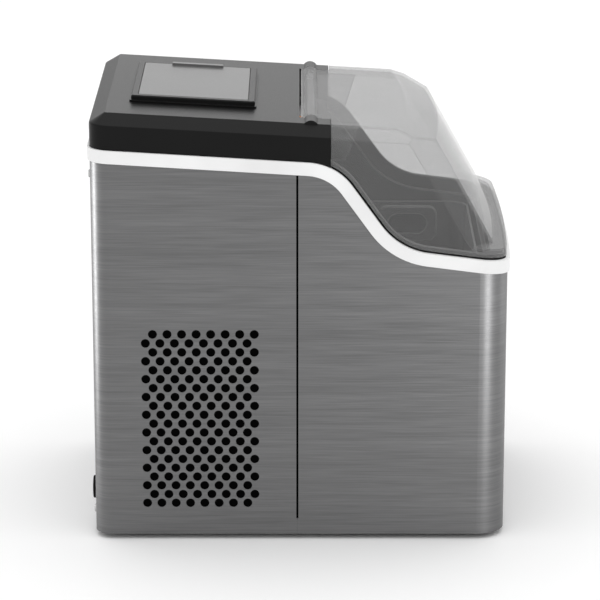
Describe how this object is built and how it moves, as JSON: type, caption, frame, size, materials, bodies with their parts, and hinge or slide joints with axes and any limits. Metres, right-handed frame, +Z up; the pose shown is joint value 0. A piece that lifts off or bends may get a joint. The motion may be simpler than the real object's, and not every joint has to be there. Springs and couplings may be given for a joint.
{
  "type": "ice maker",
  "caption": "Countertop ice maker: brushed steel cabinet with side vents, black hood with water fill flap, and a faceted clear lid that hinges up over the ice bin and basket.",
  "frame": {"origin": "on the surface the feet stand on, under the middle of the cabinet", "axes": "+Z up, front and lid towards -Y, rear and drain towards +Y, vented pictured side at -X"},
  "size_m": [0.286, 0.3817, 0.4008],
  "materials": {
    "brushed_steel": "horizontal brushed, satin",
    "white_plastic": "satin moulded",
    "black_plastic": "fine moulded texture",
    "grey_plastic": "satin moulded",
    "liner_plastic": "smooth moulded",
    "foam": "closed-cell foam",
    "black_rubber": "matte",
    "nickel": "nickel plated",
    "aluminium_fins": "thin fins, black lacquer",
    "motor_steel": "zinc plated",
    "black_paint": "satin black paint",
    "smoke_clear": "smoke-grey clear plastic, polished",
    "pin_steel": "turned steel",
    "clear_tube": "silicone tube",
    "copper": "drawn copper",
    "gloss_black": "gloss",
    "dark_lens": "tinted lens",
    "button_grey": "satin",
    "board_green": "circuit board"
  },
  "bodies": {
    "cabinet": {"rear_shell": "brushed_steel", "front_shell": "brushed_steel", "seam_strips": "black_plastic", "trim_band": "white_plastic", "base_pan": "black_paint", "rubber_feet": "black_rubber", "top_hood": "black_plastic", "fill_bezel": "black_plastic", "fill_funnel": "grey_plastic", "fill_tube": "clear_tube", "bin_liner": "liner_plastic", "bin_insulation": "foam", "bin_rails": "black_plastic", "lid_seal": "black_rubber", "evaporator_frame": "black_plastic", "evaporator": "nickel", "tray_motor": "black_plastic", "ice_sensor": "black_plastic", "condenser": "aluminium_fins", "dust_filter": "black_rubber", "fan_shroud": "black_plastic", "fan_motor": "motor_steel", "compressor": "black_paint", "compressor_grommets": "black_rubber", "hinge_pins": "pin_steel", "water_pump": "black_plastic", "water_hose": "clear_tube", "refrigerant_lines": "copper", "filter_drier": "copper", "drain_hose": "clear_tube", "drain_spout": "white_plastic", "power_inlet": "black_plastic", "control_panel": "gloss_black", "status_lens": "dark_lens", "control_board": "board_green", "panel_screws": "pin_steel", "shell_screws": "pin_steel", "hood_screws": "pin_steel"},
    "lid": {"lid": "smoke_clear"},
    "fill_cover": {"fill_cover": "grey_plastic"},
    "ice_basket": {"ice_basket": "liner_plastic"},
    "drain_cap": {"drain_cap": "black_rubber"},
    "fan_rotor": {"fan_rotor": "black_plastic"},
    "water_tray": {"water_tray": "liner_plastic"},
    "power_button": {"power_button": "button_grey"},
    "size_button": {"size_button": "button_grey"},
    "clean_button": {"clean_button": "button_grey"}
  },
  "joints": [
    {"name": "lid_hinge", "type": "hinge", "parent": "cabinet", "child": "lid", "pos_m": [0, -0.0083, 0.3811], "axis": [-1, 0, 0], "range_deg": [0, 95]},
    {"name": "fill_cover_hinge", "type": "hinge", "parent": "cabinet", "child": "fill_cover", "pos_m": [-0.0681, 0.09735, 0.39556], "axis": [0, -0.9984, -0.0565], "range_deg": [0, 100]},
    {"name": "basket_lift", "type": "slide", "parent": "cabinet", "child": "ice_basket", "axis": [0, 0, 1], "range_m": [0, 0.02]},
    {"name": "drain_cap_pull", "type": "slide", "parent": "cabinet", "child": "drain_cap", "axis": [0, 1, 0], "range_m": [0, 0.012]},
    {"name": "fan_spin", "type": "hinge", "parent": "cabinet", "child": "fan_rotor", "pos_m": [-0.095, 0.0925, 0.119], "axis": [1, 0, 0], "continuous": true},
    {"name": "tray_tilt", "type": "hinge", "parent": "cabinet", "child": "water_tray", "pos_m": [0, 0.001, 0.29], "axis": [1, 0, 0], "range_deg": [0, 80]},
    {"name": "power_press", "type": "slide", "parent": "cabinet", "child": "power_button", "axis": [0, 1, 0], "range_m": [0, 0.0008], "stiffness_N_per_m": 500, "springref_m": -0.001},
    {"name": "size_press", "type": "slide", "parent": "cabinet", "child": "size_button", "axis": [0, 1, 0], "range_m": [0, 0.0008], "stiffness_N_per_m": 500, "springref_m": -0.001},
    {"name": "clean_press", "type": "slide", "parent": "cabinet", "child": "clean_button", "axis": [0, 1, 0], "range_m": [0, 0.0008], "stiffness_N_per_m": 500, "springref_m": -0.001}
  ]
}
